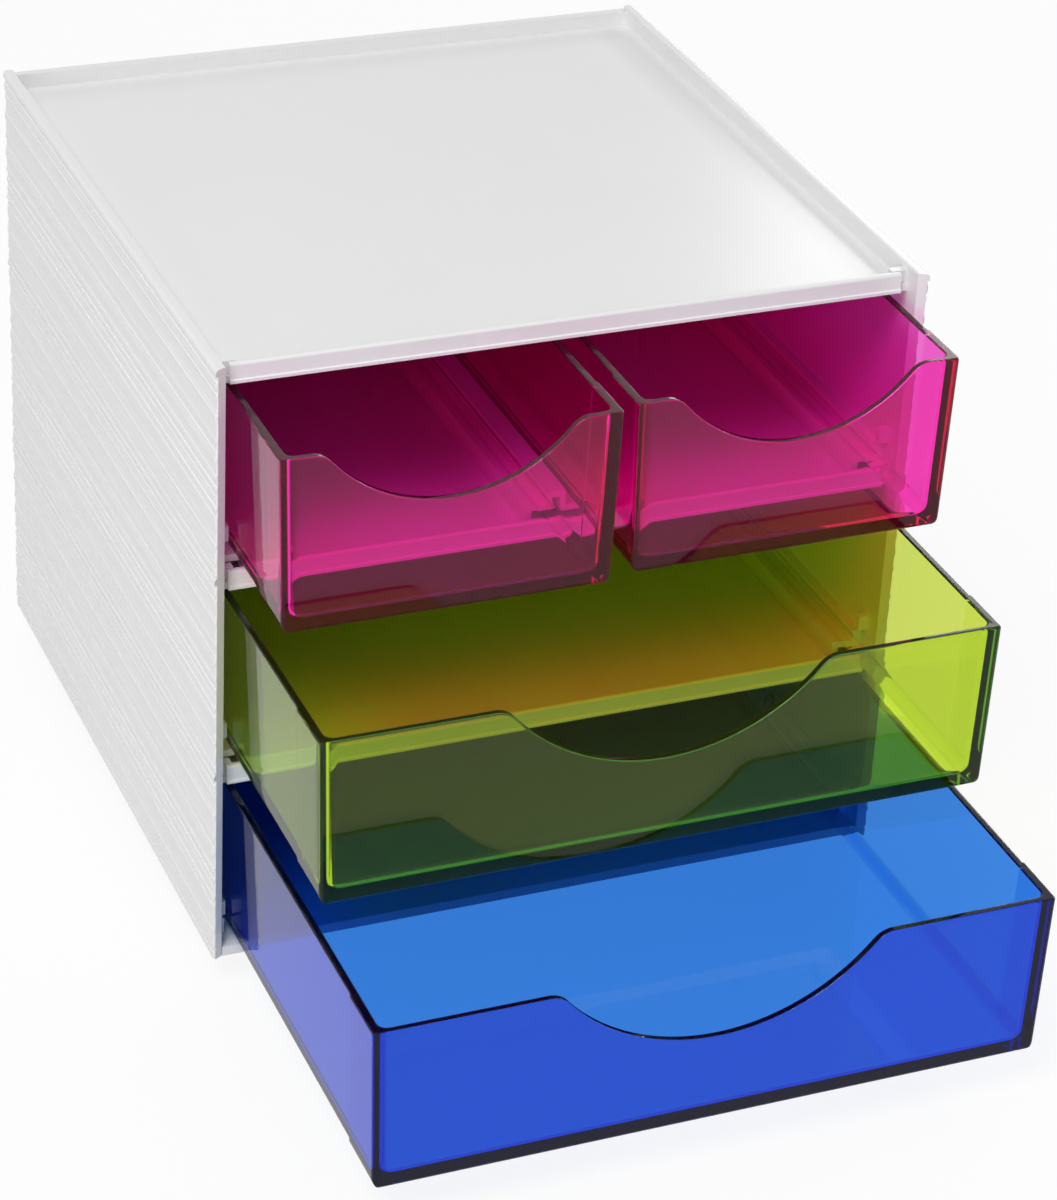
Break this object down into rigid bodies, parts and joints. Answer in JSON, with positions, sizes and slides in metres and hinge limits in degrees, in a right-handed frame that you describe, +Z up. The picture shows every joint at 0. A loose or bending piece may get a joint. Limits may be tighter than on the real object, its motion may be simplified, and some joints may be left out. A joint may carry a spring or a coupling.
{
  "type": "desk organizer",
  "caption": "Stacked white desk organizer with ribbed sides, a rimmed top tray and clear coloured sliding drawers, turning on a low swivel foot.",
  "frame": {"origin": "on the swivel axis, in the plane of the surface that the foot stands on", "axes": "+Z up along the swivel axis; -Y is the front, the way the drawers open; +X to the right seen from the front"},
  "size_m": [0.18, 0.2815, 0.171],
  "materials": {
    "casing_white": "moulded, glossy, with fine moulded ribs on the sides",
    "clear_pink": "clear tinted polystyrene, polished",
    "clear_green": "clear tinted polystyrene, polished",
    "clear_blue": "clear tinted polystyrene, polished",
    "swivel_plastic": "moulded, fine matte texture",
    "pad_rubber": "soft, matte",
    "screw_steel": "zinc plated",
    "ball_steel": "polished",
    "bearing_plastic": "natural nylon"
  },
  "bodies": {
    "foot": {"swivel_foot": "swivel_plastic", "foot_pad": "pad_rubber"},
    "casing": {"top_housing": "casing_white", "middle_housing": "casing_white", "bottom_housing": "casing_white", "base_plate": "casing_white", "centre_guide": "casing_white", "upper_race": "swivel_plastic", "race_screws": "screw_steel", "pivot_bush": "bearing_plastic", "pivot_washer": "screw_steel", "pivot_screw": "screw_steel", "pivot_nut": "screw_steel"},
    "ball_ring": {"bearing_balls": "ball_steel", "ball_cage": "bearing_plastic"},
    "top_left_drawer": {"drawer_top_left": "clear_pink"},
    "top_right_drawer": {"drawer_top_right": "clear_pink"},
    "middle_drawer": {"drawer_middle": "clear_green"},
    "bottom_drawer": {"drawer_bottom": "clear_blue"}
  },
  "joints": [
    {"name": "swivel", "type": "hinge", "parent": "foot", "child": "casing", "pos_m": [0, 0, 0.009], "axis": [0, 0, 1], "continuous": true},
    {"name": "ball_ring_roll", "type": "hinge", "parent": "foot", "child": "ball_ring", "pos_m": [0, 0, 0.0053], "axis": [0, 0, 1], "continuous": true},
    {"name": "top_left_slide", "type": "slide", "parent": "casing", "child": "top_left_drawer", "axis": [0, -1, 0], "range_m": [-0.03, 0.1117]},
    {"name": "top_right_slide", "type": "slide", "parent": "casing", "child": "top_right_drawer", "axis": [0, -1, 0], "range_m": [-0.0276, 0.1141]},
    {"name": "middle_slide", "type": "slide", "parent": "casing", "child": "middle_drawer", "axis": [0, -1, 0], "range_m": [-0.0605, 0.0812]},
    {"name": "bottom_slide", "type": "slide", "parent": "casing", "child": "bottom_drawer", "axis": [0, -1, 0], "range_m": [-0.0995, 0.0422]}
  ],
  "couplings": [
    {"joint": "ball_ring_roll", "follows": "swivel", "ratio": 0.5}
  ]
}
